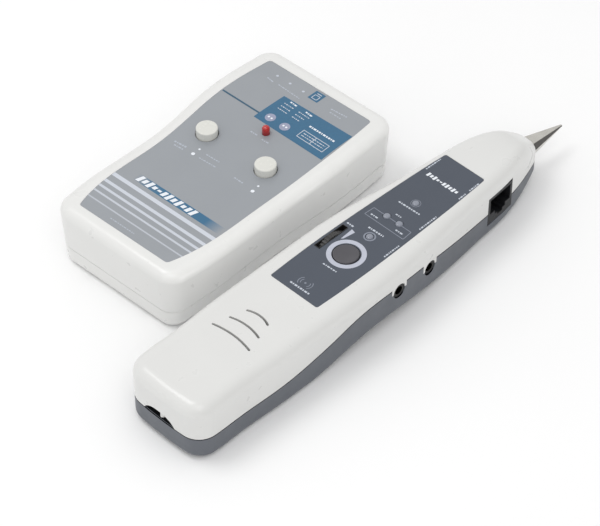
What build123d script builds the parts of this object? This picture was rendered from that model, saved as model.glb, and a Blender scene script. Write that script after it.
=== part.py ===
"""Network tone and probe kit: a boxed tone generator and a wand-shaped receiver, in millimetres.

Each unit is drawn in its own frame, +Y towards its working end, +Z up, with its flat underside at
z = 0, and is then set down in the kit's frame, whose origin is the centre of the kit's footprint.
"""

from build123d import *
import os
from math import cos, radians, sin

os.makedirs("parts", exist_ok=True)

# ---------------------------------------------------------------- kit
TONER_AT = (-25.31, -7.95)
PROBE_AT = (39.49, -5.65)
PROBE_TURN = -2.14              # degrees, the wand lies a little askew to the box

# ---------------------------------------------------------------- shared
WALL = 2.0                      # moulded wall of every case
GAP = 0.2                       # between a part and the hole it sits in
SEAM_GROOVE = 0.4               # shadow line round the wand, its depth and height
TONER_SEAM_GROOVE = 0.2         # the box's is finer
LABEL_THICK = 0.4
LABEL_POCKET = 0.5
LABEL_GAP = 0.06                # between a label and the edge of its pocket
BOARD_THICK = 1.6
LEAD_RADIUS = 0.7
DRAFT_HEIGHT = 30.0             # the draft of the walls is stated over this height
REACH = 60.0                    # half width of cutting blocks, beyond any case
LENGTH_REACH = 120.0            # half length of cutting blocks
ABOVE = 32.0                    # top of cutting blocks, above any case

# ---------------------------------------------------------------- 9 V battery, standard
CELL_LENGTH = 46.4
CELL_WIDTH = 26.5
CELL_HEIGHT = 17.5
CELL_EDGE = 1.6
TERMINAL_HEIGHT = 2.1
TERMINAL_OFFSET = 6.35
SMALL_TERMINAL_RADIUS = 2.9
LARGE_TERMINAL_RADIUS = 4.0
CELL_FLOOR = 2.4                # underside of the battery above the table
SNAP_THICK = 3.2

# ---------------------------------------------------------------- sliding battery doors
DOOR_BOTTOM = 0.3
DOOR_TOP = 1.9
TONGUE_BOTTOM = 1.0
TONGUE_REACH = 1.6
LEDGE_TOP = 0.9
DOOR_HALF = 13.6
RAIL_HEIGHT = 3.6

# ---------------------------------------------------------------- screws
SCREW_RADIUS = 1.45
SCREW_HEAD_RADIUS = 2.7
SCREW_HEAD_HEIGHT = 2.0
SCREW_SINK = 1.0
SCREW_END = 20.0                # tip of the toner's case screws
PROBE_SCREW_END = 19.0
THREAD_FIT = 0.02
SCREW_PASSAGE = 1.8             # radius of the clear hole under each boss
HEAD_WELL = 3.1                 # radius of the counterbore for each head
BOARD_SCREW_RADIUS = 1.1
BOARD_SCREW_HEAD_RADIUS = 2.1
BOARD_SCREW_HEAD_HEIGHT = 1.4

# ---------------------------------------------------------------- toner
TONER_NEAR_CORNER = (22.9, -51.5, 8.0, 5.0)     # centre x, centre y, radius, lean in degrees
TONER_FAR_CORNER = (25.2, 52.0, 8.0, 2.0)
TONER_SIDE = [(31.9, -41), (32.2, -30), (32.1, -7), (32.5, 4), (33.5, 17), (34.0, 29), (33.7, 42)]
TONER_CREST = [(-66, 28.2), (-48, 27.8), (-33, 27.0), (-14, 26.0), (0, 26.0), (10, 26.6),
               (20, 27.4), (29, 27.7), (45, 27.2), (66, 26.4)]
TONER_DRAFT = 2.0
TONER_TOP_FILLET = 4.0
TONER_BOTTOM_FILLET = 3.5
TONER_SEAM = 8.8
TONER_BOARD = 9.4               # underside of the circuit board
TONER_CELL_NEAR = -54.6
TONER_DOOR_FAR = -5.0
TONER_CASE_SCREWS = [(-24.0, -50.0), (24.0, -50.0), (-24.5, 50.5), (24.5, 50.5)]
TONER_BOARD_SCREWS = [(-23.5, 0.5), (24.5, 0.5), (-22.0, 40.0), (22.0, 40.0)]
TONER_LABEL_SIDE = [(23.9, -46), (25.5, -33), (25.5, -11), (26.7, 13), (27.2, 27), (26.3, 46)]
TONER_LABEL_NEAR = -53.0
TONER_LABEL_FAR = 52.5
TONER_LABEL_NEAR_HALF = 22.0
TONER_LABEL_FAR_HALF = 25.7
TONER_LABEL_CORNER = 1.6
TONER_BOSS_RADIUS = 3.2         # hangs from the upper cover
TONER_POST_RADIUS = 3.9         # stands on the lower cover
BOARD_POST_RADIUS = 2.6
LIP_GAP = 0.15                  # between the lower cover's lip and the upper cover's wall
LIP_THICK = 0.95
LIP_HEIGHT = 1.2
CELL_STOP = (-4.4, -3.2)        # near and far faces of the rib behind the battery
CELL_STOP_TOP = 8.5

CAP_RADIUS = 4.15
CAP_HOLE_RADIUS = 4.5
CAP_PROUD = 3.1
CAP_LOW = 22.2                  # underside of the caps' flanges
CAP_TRAVEL = 2.0
CAP_FLANGE_RADIUS = 5.2
CAP_ROOF = 1.8
LABEL_AT_CAPS = 26.2            # height of the label where the caps come through
TONER_CAPS = {"left": (-15.5, 6.9), "right": (13.9, 7.2)}
SWITCH_SIDE = 8.5
SWITCH_HEIGHT = 7.3
PLUNGER_SIDE = 3.0
LAMP_RADIUS = 1.5
TONER_LAMP_AT = (1.4, 20.9)
TONER_LAMP_TOP = 30.9
LAMP_LEG_PITCH = 2.54
TONER_JACK_X = 1.2

# ---------------------------------------------------------------- probe
PROBE_TAIL_CORNER = (10.5, -91.0, 8.2, 2.0)
PROBE_TAIL_BULGE = 4.0                          # degrees, slope of the bowed tail where it meets a corner
PROBE_NOSE_CORNER = (1.2, 85.8, 5.8, 20.0)
PROBE_SIDE = [(18.6, -78), (19.2, -62), (19.5, -42), (19.7, -20), (19.6, -2), (18.7, 11), (17.5, 21),
              (16.1, 32), (14.9, 43), (13.9, 53), (12.9, 64), (11.0, 74), (8.9, 81.2)]
PROBE_CREST = [(-106, 25.6), (-80, 26.1), (-40, 26.2), (0, 26.1), (40, 26.0), (64, 25.9),
               (74, 25.4), (81, 23.8), (86, 21.0), (91, 17.0), (95, 13.5)]
PROBE_KEEL_LIFT = [(-106, 2.0), (-98, 0.9)]     # the tail's end curves up off the table
PROBE_KEEL_TAIL = (-84, -46)                    # span of the tail's flat, which lies on the table
PROBE_KEEL_WAIST = [(-29, 2.2), (-11, 4.8), (12, 2.9)]         # the grip arches clear of the table
PROBE_KEEL_FRONT = (38, 58)                     # span of the front flat, which lies on the table
PROBE_KEEL_RISE = [(68, 0.5), (78, 1.8), (86, 3.6), (95, 6.5)]
PROBE_KEEL_SLOPE = 0.35
TAIL_FACE = PROBE_TAIL_CORNER[1] - PROBE_TAIL_CORNER[2]
NOSE_FACE = PROBE_NOSE_CORNER[1] + PROBE_NOSE_CORNER[2]
PROBE_SEAM = [(-106, 10.8), (-92, 10.7), (-77, 10.4), (-62, 10.5), (-51, 11.3), (-41, 12.8), (-33, 14.4),
              (-27, 16.0), (-20, 17.5), (-12, 18.2), (-4, 18.1), (10, 17.3), (20, 15.7), (30, 13.9),
              (42, 12.5), (55, 11.8), (75, 10.9), (98, 10.5)]
PROBE_DRAFT = 0.4
PROBE_TOP_FILLET = 5.0
PROBE_BOTTOM_FILLET = 3.0
PROBE_BOARD = 19.4
PROBE_BOARD_SPAN = (-31.5, 70.5)
PROBE_CELL_NEAR = -90.0
PROBE_DOOR_FAR = -41.0
PROBE_CASE_SCREWS = [(-14.6, -36.4), (14.6, -36.4), (0.0, 73.6)]
PROBE_SCREW_SEATS = (1.6, 1.6, 2.4)             # underside of each head, which follows the keel
PROBE_BOSS_SPLIT = (14.0, 14.0, 11.0)           # height where each lower post meets its upper post
UPPER_POST_RADIUS = 2.8
LOWER_POST_RADIUS = 3.6
BOARD_BOSS_RADIUS = 2.3
BOARD_SCREW_END = 24.3
PROBE_BOARD_SCREWS = [(-13.0, -27.0), (13.0, -27.0), (-9.5, 37.8), (9.5, 37.8)]
PANEL_SIDE = [(12.0, -20), (12.1, -6), (11.9, 6), (11.3, 25), (10.6, 42)]
PANEL_NEAR = -34.2
PANEL_FAR = 55.6
PANEL_NEAR_HALF = 11.5
PANEL_FAR_HALF = 9.7
PANEL_CORNER = 0.9
SOUND_SLOTS = [(-63.8, 8.9), (-57.3, 7.0), (-50.8, 5.0)]        # y and half width of each
SOUND_SLOT_BULGE = 1.2
SOUND_SLOT_WIDTH = 0.9
POWER_AT = (0.3, -7.8)
POWER_RADIUS = 4.9
POWER_HOLE_RADIUS = 5.2
POWER_TOP = 26.4
LAMP_TOP = 26.5
PROBE_LAMPS = [(0.1, 4.6), (-2.8, 16.7), (3.2, 16.8), (0.2, 28.8)]
WHEEL_AT = (-9.8, -5.0)
WHEEL_RADIUS = 9.2
WHEEL_THICK = 2.0
WHEEL_HEIGHT = 17.3             # height of its axis: the rim stands just above the panel
POT_FAR = -3.6
WHEEL_NOTCHES = 40
WHEEL_SLOT = (2.7, 15.0)
SPINDLE_RADIUS = 2.0
SPINDLE_CLEARANCE = 0.05
SIDE_SOCKETS = [(0.1, 15.3, 19.5), (18.0, 12.9, 17.7)]         # y, height, wall face x
SOCKET_BORE = 1.8
SOCKET_SLEEVE = 2.3
SOCKET_NOSE = 2.9
SOCKET_DEPTH = 12.0
HOOD_WALL = 1.1
JACK_RIGHT = (61.5, 12.5)       # y and height of the network jack's face
JACK_RIGHT_FACE = 12.8
JACK_RIGHT_LEAN = 4.5           # degrees, each jack sits square to the tapering wall
JACK_LEFT = (48.4, 13.4)
JACK_LEFT_FACE = 14.0
JACK_LEFT_LEAN = 5.5
ARCH_MIDDLE = -0.9
ARCH_HALF = 7.9
ARCH_TOP = 14.3
STRAP_POST_RADIUS = 0.95
STRAP_DEPTH = 5.5               # depth of the recess behind the arch
STRAP_WALL_HALF = 11.0
STRAP_WALL_LOW = 11.0
SPEAKER_AT = (0.0, -57.3)
SPEAKER_RADIUS = 10.0
TIP_HEIGHT = 13.0
TIP_SECTION = [(-2.6, 2.4), (2.6, 2.4), (3.5, -0.6), (2.6, -4.0), (-2.6, -4.0), (-3.5, -0.6)]
TIP_END = 111.0
TIP_END_SHARE = 0.12            # size of the blunt point, as a share of the root
TIP_SHANK = 12.4
TIP_SHANK_RADIUS = 2.1
TIP_DROOP = 2.5                 # the point lies this much lower than the root
TIP_WIRE_RADIUS = 0.45

# ---------------------------------------------------------------- jacks
JACK_WIDTH = 14.8
JACK_HEIGHT = 13.4
JACK_DEPTH = 15.0
JACK_MOUTH = (11.9, 7.0, 6.2)                   # mouth width, mouth height, latch width
PHONE_WIDTH = 12.4
PHONE_HEIGHT = 11.6
PHONE_DEPTH = 10.8
PHONE_MOUTH = (9.9, 6.4, 4.6)
JACK_WALL = 1.6
LATCH_STEPS = (1.7, 3.0)                        # depth of the latch channel and of its slot
CONTACT_PITCH = 1.02
CONTACT_SLOPE = 14.0


# ================================================================ general shapes
def box_between(low, high):
    """Block from its lowest corner to its highest corner."""
    size = [b - a for a, b in zip(low, high)]
    return Pos(*low) * Box(*size, align=(Align.MIN, Align.MIN, Align.MIN))


def post(x, y, radius, low, high):
    """Upright round post."""
    return Pos(x, y, low) * Cylinder(radius, high - low, align=(Align.CENTER, Align.CENTER, Align.MIN))


def group(shapes):
    """Identical pieces kept as separate solids of one node."""
    return Compound([solid for shape in shapes for solid in shape.solids()])


def mirrored_outline(near, far, side, inset, bulge=0):
    """Closed outline, symmetric in x, with round corners, drawn in by inset.

    The near end is straight, or bowed outward when a bulge angle is given.
    """
    near_x, near_y, near_radius, near_lean = near
    far_x, far_y, far_radius, far_lean = far
    near_radius -= inset
    far_radius -= inset
    a = radians(near_lean)
    b = radians(far_lean)
    start = (near_x + near_radius * cos(a), near_y - near_radius * sin(a))
    end = (far_x + far_radius * cos(b), far_y + far_radius * sin(b))
    between = [(x - inset, y) for x, y in side]
    points = [start, *between, end]
    right = Spline(*points, tangents=[(sin(a), cos(a)), (-sin(b), cos(b))])
    left_points = [(-x, y) for x, y in reversed(points)]
    left = Spline(*left_points, tangents=[(-sin(b), -cos(b)), (sin(a), -cos(a))])
    far_right = CenterArc((far_x, far_y), far_radius, far_lean, 90 - far_lean)
    far_left = CenterArc((-far_x, far_y), far_radius, 90, 90 - far_lean)
    near_left = CenterArc((-near_x, near_y), near_radius, 180 + near_lean, 90 - near_lean - bulge)
    near_right = CenterArc((near_x, near_y), near_radius, 270 + bulge, 90 - near_lean - bulge)
    far_edge = Line(far_right @ 1, far_left @ 0)
    near_edge = Line(near_left @ 1, near_right @ 0)
    if bulge:
        near_edge = TangentArc(near_left @ 1, near_right @ 0, tangent=near_left % 1)
    edges = [right, far_right, far_edge, far_left, left, near_left, near_edge, near_right]
    return make_face(edges)


def drafted_block(outline, draft, inset):
    """Block that widens upward, from the base drawn in by the draft to the full outline."""
    base = outline(inset + draft)
    rim = Pos(0, 0, DRAFT_HEIGHT) * outline(inset)
    return loft([base, rim], ruled=True)


def across(profile):
    """Block with a (y, height) profile that runs across the whole width."""
    side = Plane(origin=(-REACH, 0, 0), x_dir=(0, 1, 0), z_dir=(1, 0, 0))
    return extrude(side * profile, amount=2 * REACH)


def side_block(upper, lower):
    """Block across the whole width between two height curves given along y."""
    low_y = (upper @ 0).X
    high_y = (upper @ 1).X
    closing = [Line(upper @ 1, (high_y, (lower @ 1).Y)), Line(lower @ 0, (low_y, (upper @ 0).Y))]
    return across(make_face([upper, lower, *closing]))


def height_curve(points, drop):
    """Smooth curve through (y, height) points, lowered by drop."""
    return Spline(*[(y, z - drop) for y, z in points])


def below(points, drop):
    """Everything under a height curve that is lowered by drop."""
    curve = height_curve(points, drop)
    floor = Line((points[0][0], -5), (points[-1][0], -5))
    return side_block(curve, floor)


def top_face(shape):
    return shape.faces().sort_by(Axis.Z)[-1]


def bottom_face(shape):
    return shape.faces().sort_by(Axis.Z)[0]


# ================================================================ bought-in pieces
def screw(x, y, head_low, tip, radius, head_radius, head_height):
    """Cross-head screw, driven upward when its tip is above its head and downward otherwise."""
    upward = tip > head_low
    head_high = head_low + head_height
    shank = post(x, y, radius, head_high, tip) if upward else post(x, y, radius, tip, head_low)
    head = post(x, y, head_radius, head_low, head_high)
    rim = head.faces().sort_by(Axis.Z)[0 if upward else -1].edges()
    head = fillet(rim, 0.4)
    cut_height = head_height * 0.55
    cut_low = head_low - 0.01 if upward else head_high - cut_height + 0.01
    recess = Part()
    for turn in (0, 90):
        blade = Box(head_radius * 1.1, 0.6, cut_height, align=(Align.CENTER, Align.CENTER, Align.MIN))
        recess += Pos(x, y, cut_low) * Rot(0, 0, turn) * blade
    return head + shank - recess


def battery(x, near, low):
    """9 V battery lying along y, with its two snap terminals at the far end."""
    can = box_between((x - CELL_WIDTH / 2, near, low),
                      (x + CELL_WIDTH / 2, near + CELL_LENGTH, low + CELL_HEIGHT))
    can = fillet(can.edges().filter_by(Axis.Y), CELL_EDGE)
    face = Plane(origin=(x, near + CELL_LENGTH, low + CELL_HEIGHT / 2), x_dir=(1, 0, 0), z_dir=(0, 1, 0))
    small = extrude(face * Pos(-TERMINAL_OFFSET, 0) * Circle(SMALL_TERMINAL_RADIUS), TERMINAL_HEIGHT)
    large = extrude(face * Pos(TERMINAL_OFFSET, 0) * RegularPolygon(LARGE_TERMINAL_RADIUS, 6),
                    TERMINAL_HEIGHT)
    return can + small + large


def battery_snap(x, near, low):
    """Moulded strip with two sockets that clip over the battery's terminals."""
    face_y = near + CELL_LENGTH + 0.1
    middle = low + CELL_HEIGHT / 2
    strip = box_between((x - 12.2, face_y, middle - 6.6), (x + 12.2, face_y + SNAP_THICK, middle + 6.6))
    strip = fillet(strip.edges().filter_by(Axis.Y), 3.0)
    face = Plane(origin=(x, face_y, middle), x_dir=(1, 0, 0), z_dir=(0, 1, 0))
    small = extrude(face * Pos(-TERMINAL_OFFSET, 0) * Circle(SMALL_TERMINAL_RADIUS + GAP),
                    TERMINAL_HEIGHT + 0.1)
    large = extrude(face * Pos(TERMINAL_OFFSET, 0) * Circle(LARGE_TERMINAL_RADIUS + GAP),
                    TERMINAL_HEIGHT + 0.1)
    return strip - small - large


def lead(points, bend):
    """Insulated wire along straight runs joined by round bends."""
    path = FilletPolyline(*points, radius=bend)
    section = Plane(origin=path @ 0, z_dir=path % 0) * Circle(LEAD_RADIUS)
    return sweep(section, path)


def modular_jack(width, height, depth, mouth_width, mouth_height, latch_width):
    """Jack housing: its face lies in the plane x = 0 and its mouth opens towards +X."""
    housing = box_between((-depth, -width / 2, -height / 2), (0, width / 2, height / 2))
    roof = height / 2 - JACK_WALL
    floor = roof - mouth_height
    mouth = box_between((-depth + JACK_WALL, -mouth_width / 2, floor), (1, mouth_width / 2, roof))
    for half, step in zip((latch_width / 2, latch_width / 4), LATCH_STEPS):
        mouth += box_between((-depth + 4, -half, floor - step), (1, half, roof))
    face_rim = housing.faces().sort_by(Axis.X)[-1].edges()
    return chamfer(face_rim, 0.3) - mouth


def jack_contacts(count, height, depth):
    """Sprung contact wires that slope down from the roof of a jack's mouth."""
    wires = []
    for index in range(count):
        y = (index - (count - 1) / 2) * CONTACT_PITCH
        wire = Rot(0, -CONTACT_SLOPE, 0) * Box(depth * 0.55, 0.4, 0.35)
        wires.append(Pos(-depth * 0.52, y, height / 2 - 2.9) * wire)
    return group(wires)


# ================================================================ battery doors
def door_plate(case, near, far):
    """Sliding door cut from the case's own underside, with a tongue along each side."""
    plate = case & box_between((-DOOR_HALF, near, DOOR_BOTTOM), (DOOR_HALF, far, DOOR_TOP))
    tongues = case & box_between((-DOOR_HALF - TONGUE_REACH, near + 9, TONGUE_BOTTOM),
                                 (DOOR_HALF + TONGUE_REACH, far - 1, DOOR_TOP))
    ridges = Part()
    for row in range(5):
        y = near + 10 + 1.8 * row
        ridges += box_between((-7, y, DOOR_BOTTOM), (7, y + 0.8, DOOR_BOTTOM + 0.4))
    return plate + tongues - ridges


def door_opening(near, far):
    """Room for the door and its tongues."""
    plate = box_between((-DOOR_HALF - GAP, near - 5, -1), (DOOR_HALF + GAP, far + GAP, DOOR_TOP + 0.15))
    reach = DOOR_HALF + TONGUE_REACH + GAP
    grooves = box_between((-reach, near - 5, LEDGE_TOP), (reach, far + GAP, DOOR_TOP + 0.15))
    well = box_between((-DOOR_HALF, near + 4, 0), (DOOR_HALF, far - 3, WALL + 1))
    return plate + grooves + well


def door_rails(near, far):
    """Rail over each tongue, standing on the floor beside the opening."""
    inner = DOOR_HALF + 0.1
    outer = DOOR_HALF + TONGUE_REACH + 1.8
    rails = Part()
    for side in (-1, 1):
        edges = sorted((side * inner, side * outer))
        rails += box_between((edges[0], near + 4, LEDGE_TOP), (edges[1], far, RAIL_HEIGHT))
    return rails


# ================================================================ toner
def toner_outline(inset):
    return mirrored_outline(TONER_NEAR_CORNER, TONER_FAR_CORNER, TONER_SIDE, inset)


def toner_case():
    """The whole outside of the box, with soft edges."""
    block = drafted_block(toner_outline, TONER_DRAFT, 0) & below(TONER_CREST, 0)
    block = block.solid()
    block = block.fillet(TONER_TOP_FILLET, top_face(block).edges())
    return block.fillet(TONER_BOTTOM_FILLET, bottom_face(block).edges())


def toner_hollow():
    inside = drafted_block(toner_outline, TONER_DRAFT, WALL) & below(TONER_CREST, WALL)
    return inside - box_between((-REACH, -LENGTH_REACH, -5), (REACH, LENGTH_REACH, WALL))


def toner_label_block(inset):
    """Label outline as an upright block."""
    near = (TONER_LABEL_NEAR_HALF - inset, TONER_LABEL_NEAR + inset)
    side = [(x - inset, y) for x, y in TONER_LABEL_SIDE]
    far = (TONER_LABEL_FAR_HALF - inset, TONER_LABEL_FAR - inset)
    right = Spline(near, *side, far)
    left = Spline((-near[0], near[1]), *[(-x, y) for x, y in side], (-far[0], far[1]))
    face = make_face([right, left, Line(left @ 0, right @ 0), Line(left @ 1, right @ 1)])
    block = extrude(Pos(0, 0, 20) * face, amount=15)
    return fillet(block.edges().filter_by(Axis.Z), TONER_LABEL_CORNER - inset)


def toner_top_holes():
    holes = Part()
    for x, y in TONER_CAPS.values():
        holes += post(x, y, CAP_HOLE_RADIUS, 22, ABOVE)
    return holes + post(*TONER_LAMP_AT, LAMP_RADIUS + 0.1, 22, ABOVE)


def toner_jack_face():
    """Frame of the network jack: its face lies flush in the far wall."""
    far_y = TONER_FAR_CORNER[1] + TONER_FAR_CORNER[2] - 1.2
    height = TONER_BOARD + BOARD_THICK + JACK_HEIGHT / 2
    return Location((TONER_JACK_X, far_y, height), (0, 0, 90))


def network_jack():
    return modular_jack(JACK_WIDTH, JACK_HEIGHT, JACK_DEPTH, *JACK_MOUTH)


def wall_cut(width, height):
    """Block that opens a case wall for a jack whose face is in the plane x = 0."""
    half_y = width / 2 + GAP
    half_z = height / 2 + GAP
    return box_between((-16, -half_y, -half_z), (8, half_y, half_z))


def toner_seam_ring():
    """Shallow groove round the box just under its seam."""
    low = TONER_SEAM - TONER_SEAM_GROOVE
    band = box_between((-REACH, -LENGTH_REACH, low), (REACH, LENGTH_REACH, TONER_SEAM + 1))
    return band - drafted_block(toner_outline, TONER_DRAFT, TONER_SEAM_GROOVE)


def toner_upper_cover(case, hollow):
    cover = case - box_between((-REACH, -LENGTH_REACH, -5), (REACH, LENGTH_REACH, TONER_SEAM)) - hollow
    pocket = toner_label_block(0) - below(TONER_CREST, LABEL_POCKET)
    for x, y in TONER_CASE_SCREWS:
        boss = post(x, y, TONER_BOSS_RADIUS, TONER_SEAM, ABOVE) & below(TONER_CREST, WALL / 2)
        cover += boss
    for x, y in TONER_CASE_SCREWS:
        cover -= post(x, y, SCREW_RADIUS + THREAD_FIT, TONER_SEAM - 1, SCREW_END + GAP)
    cover -= pocket
    cover -= toner_top_holes()
    return cover - toner_jack_face() * wall_cut(JACK_WIDTH, JACK_HEIGHT)


def toner_lower_cover(case, hollow):
    near = TONER_NEAR_CORNER[1] - TONER_NEAR_CORNER[2]
    under_seam = box_between((-REACH, -LENGTH_REACH, -5), (REACH, LENGTH_REACH, TONER_SEAM))
    cover = (case & under_seam) - hollow
    cover -= toner_seam_ring()
    lip_core = drafted_block(toner_outline, TONER_DRAFT, WALL + LIP_GAP + LIP_THICK)
    lip = drafted_block(toner_outline, TONER_DRAFT, WALL + LIP_GAP) - lip_core
    lip &= box_between((-REACH, -LENGTH_REACH, WALL), (REACH, LENGTH_REACH, TONER_SEAM + LIP_HEIGHT))
    joined = drafted_block(toner_outline, TONER_DRAFT, WALL - 0.1) - lip_core
    joined &= box_between((-REACH, -LENGTH_REACH, WALL), (REACH, LENGTH_REACH, TONER_SEAM - 1))
    for x, y in TONER_CASE_SCREWS:
        lip -= post(x, y, TONER_BOSS_RADIUS + GAP, TONER_SEAM, ABOVE)
    cover += joined + lip
    cover += door_rails(near, TONER_DOOR_FAR) & case
    cover += box_between((-16, CELL_STOP[0], WALL - 0.5), (16, CELL_STOP[1], CELL_STOP_TOP))
    for x, y in TONER_BOARD_SCREWS:
        cover += post(x, y, BOARD_POST_RADIUS, WALL - 0.5, TONER_BOARD)
    for x, y in TONER_CASE_SCREWS:
        cover += post(x, y, TONER_POST_RADIUS, 0.5, TONER_SEAM - 0.1)
    for x, y in TONER_BOARD_SCREWS:
        cover -= post(x, y, BOARD_SCREW_RADIUS + THREAD_FIT, 4, TONER_BOARD + 1)
    for x, y in TONER_CASE_SCREWS:
        cover -= post(x, y, HEAD_WELL, -1, SCREW_SINK + SCREW_HEAD_HEIGHT)
        cover -= post(x, y, SCREW_PASSAGE, 0, TONER_SEAM + 2)
    cover -= door_opening(near, TONER_DOOR_FAR)
    jack = toner_jack_face() * wall_cut(JACK_WIDTH, JACK_HEIGHT)
    return cover - jack


def toner_label():
    label = toner_label_block(LABEL_GAP) & below(TONER_CREST, LABEL_POCKET - LABEL_THICK)
    label -= below(TONER_CREST, LABEL_POCKET)
    return label - toner_top_holes()


def toner_cap(x, y):
    """Hollow push-button cap with a flange that holds it under the cover."""
    top = LABEL_AT_CAPS + CAP_PROUD
    cap = post(x, y, CAP_RADIUS, CAP_LOW, top)
    cap = cap.fillet(0.5, cap.faces().sort_by(Axis.Z)[-1].edges())
    cap += post(x, y, CAP_FLANGE_RADIUS, CAP_LOW, CAP_LOW + 1.0)
    half = PLUNGER_SIDE / 2
    return cap - box_between((x - half, y - half, CAP_LOW - 1), (x + half, y + half, top - CAP_ROOF))


def toner_plunger(x, y):
    half = PLUNGER_SIDE / 2
    low = TONER_BOARD + BOARD_THICK + CAP_TRAVEL + 0.6
    top = LABEL_AT_CAPS + CAP_PROUD - CAP_ROOF
    return box_between((x - half, y - half, low), (x + half, y + half, top))


def toner_switch(x, y):
    low = TONER_BOARD + BOARD_THICK
    half = SWITCH_SIDE / 2
    body = box_between((x - half, y - half, low), (x + half, y + half, low + SWITCH_HEIGHT))
    body = chamfer(body.edges().filter_by(Axis.Z), 0.6)
    well = PLUNGER_SIDE / 2 + 0.08
    return body - box_between((x - well, y - well, low + 0.5), (x + well, y + well, ABOVE))


def toner_lamp():
    x, y = TONER_LAMP_AT
    lens = post(x, y, LAMP_RADIUS, 23.0, TONER_LAMP_TOP)
    lens = lens.fillet(1.35, lens.faces().sort_by(Axis.Z)[-1].edges())
    return lens + post(x, y, LAMP_RADIUS + 0.4, 22.6, 23.6)


def toner_lamp_legs():
    x, y = TONER_LAMP_AT
    low = TONER_BOARD + BOARD_THICK
    return group([box_between((x + dx - 0.25, y - 0.25, low), (x + dx + 0.25, y + 0.25, 22.6))
                  for dx in (-LAMP_LEG_PITCH / 2, LAMP_LEG_PITCH / 2)])


def toner_board():
    low = TONER_BOARD
    board = extrude(Pos(0, 0, low) * toner_outline(6.2), BOARD_THICK)
    board &= box_between((-REACH, -2.5, low), (REACH, LENGTH_REACH, low + BOARD_THICK))
    for x, y in TONER_CASE_SCREWS[2:]:
        board -= post(x, y, TONER_POST_RADIUS + 0.5, low - 1, ABOVE)
    for x, y in TONER_BOARD_SCREWS:
        board -= post(x, y, BOARD_SCREW_RADIUS + 0.1, low - 1, ABOVE)
    return board


def build_toner():
    case = toner_case()
    hollow = toner_hollow()
    near = TONER_NEAR_CORNER[1] - TONER_NEAR_CORNER[2]
    board_top = TONER_BOARD + BOARD_THICK
    jack = toner_jack_face()
    snap_far = TONER_CELL_NEAR + CELL_LENGTH + 0.1 + SNAP_THICK
    nodes = {
        "toner_upper_cover": toner_upper_cover(case, hollow),
        "toner_lower_cover": toner_lower_cover(case, hollow),
        "toner_label": toner_label(),
        "toner_switches": group([toner_switch(x, y) for x, y in TONER_CAPS.values()]),
        "toner_signal_lamp": toner_lamp(),
        "toner_lamp_legs": toner_lamp_legs(),
        "toner_circuit_board": toner_board(),
        "toner_network_jack": jack * network_jack(),
        "toner_jack_contacts": jack * jack_contacts(8, JACK_HEIGHT, JACK_DEPTH),
        "toner_battery": battery(0, TONER_CELL_NEAR, CELL_FLOOR),
        "toner_battery_snap": battery_snap(0, TONER_CELL_NEAR, CELL_FLOOR),
        "toner_battery_door": door_plate(case, near, TONER_DOOR_FAR),
        "toner_case_screws": group([
            screw(x, y, SCREW_SINK, SCREW_END, SCREW_RADIUS, SCREW_HEAD_RADIUS, SCREW_HEAD_HEIGHT)
            for x, y in TONER_CASE_SCREWS]),
        "toner_board_screws": group([
            screw(x, y, board_top, 5, BOARD_SCREW_RADIUS, BOARD_SCREW_HEAD_RADIUS,
                  BOARD_SCREW_HEAD_HEIGHT)
            for x, y in TONER_BOARD_SCREWS]),
    }
    for side, (x, y) in TONER_CAPS.items():
        nodes[f"toner_{side}_button"] = toner_cap(x, y)
        nodes[f"toner_{side}_plunger"] = toner_plunger(x, y)
    for colour, x in (("red", -3.0), ("black", 3.0)):
        route = [(x, snap_far, 13.2), (x, 5.0, 13.2), (x, 5.0, board_top)]
        nodes[f"toner_lead_{colour}"] = lead(route, 1.8)
    return nodes


# ================================================================ probe
def probe_outline(inset):
    return mirrored_outline(PROBE_TAIL_CORNER, PROBE_NOSE_CORNER, PROBE_SIDE, inset, PROBE_TAIL_BULGE)


def probe_side_block(inset):
    """Everything between the wand's crest and its keel, both drawn in by inset."""
    crest = height_curve(PROBE_CREST, inset)
    tail_near, tail_far = PROBE_KEEL_TAIL
    front_near, front_far = PROBE_KEEL_FRONT
    lift = Spline(*raised(PROBE_KEEL_LIFT, inset), (tail_near, inset), tangents=[(1, -0.14), (1, 0)])
    tail = Line((tail_near, inset), (tail_far, inset))
    waist_points = [(tail_far, inset), *raised(PROBE_KEEL_WAIST, inset), (front_near, inset)]
    waist = Spline(*waist_points, tangents=[(1, 0), (1, 0)])
    front = Line((front_near, inset), (front_far, inset))
    rising = [(front_far, inset), *raised(PROBE_KEEL_RISE, inset)]
    rise = Spline(*rising, tangents=[(1, 0), (1, PROBE_KEEL_SLOPE)])
    ends = [Line(crest @ 0, lift @ 0), Line(crest @ 1, rise @ 1)]
    return across(make_face([crest, lift, tail, waist, front, rise, *ends]))


def raised(points, inset):
    return [(y, z + inset) for y, z in points]


def probe_case():
    """The whole outside of the wand, with soft edges."""
    block = (drafted_block(probe_outline, PROBE_DRAFT, 0) & probe_side_block(0)).solid()
    block = block.fillet(PROBE_TOP_FILLET, top_face(block).edges())
    underside = [face for face in block.faces() if face.normal_at(None).Z < -0.8]
    return block.fillet(PROBE_BOTTOM_FILLET, outer_edges(underside))


def outer_edges(faces):
    """Edges of a patch of faces that no two of them share."""
    edges = [edge for face in faces for edge in face.edges()]
    centres = [edge.center() for edge in edges]
    return [edge for edge, centre in zip(edges, centres)
            if sum((other - centre).length < 1e-4 for other in centres) == 1]


def probe_hollow():
    return drafted_block(probe_outline, PROBE_DRAFT, WALL) & probe_side_block(WALL)


def under_probe_seam(drop):
    return below(PROBE_SEAM, drop)


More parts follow.
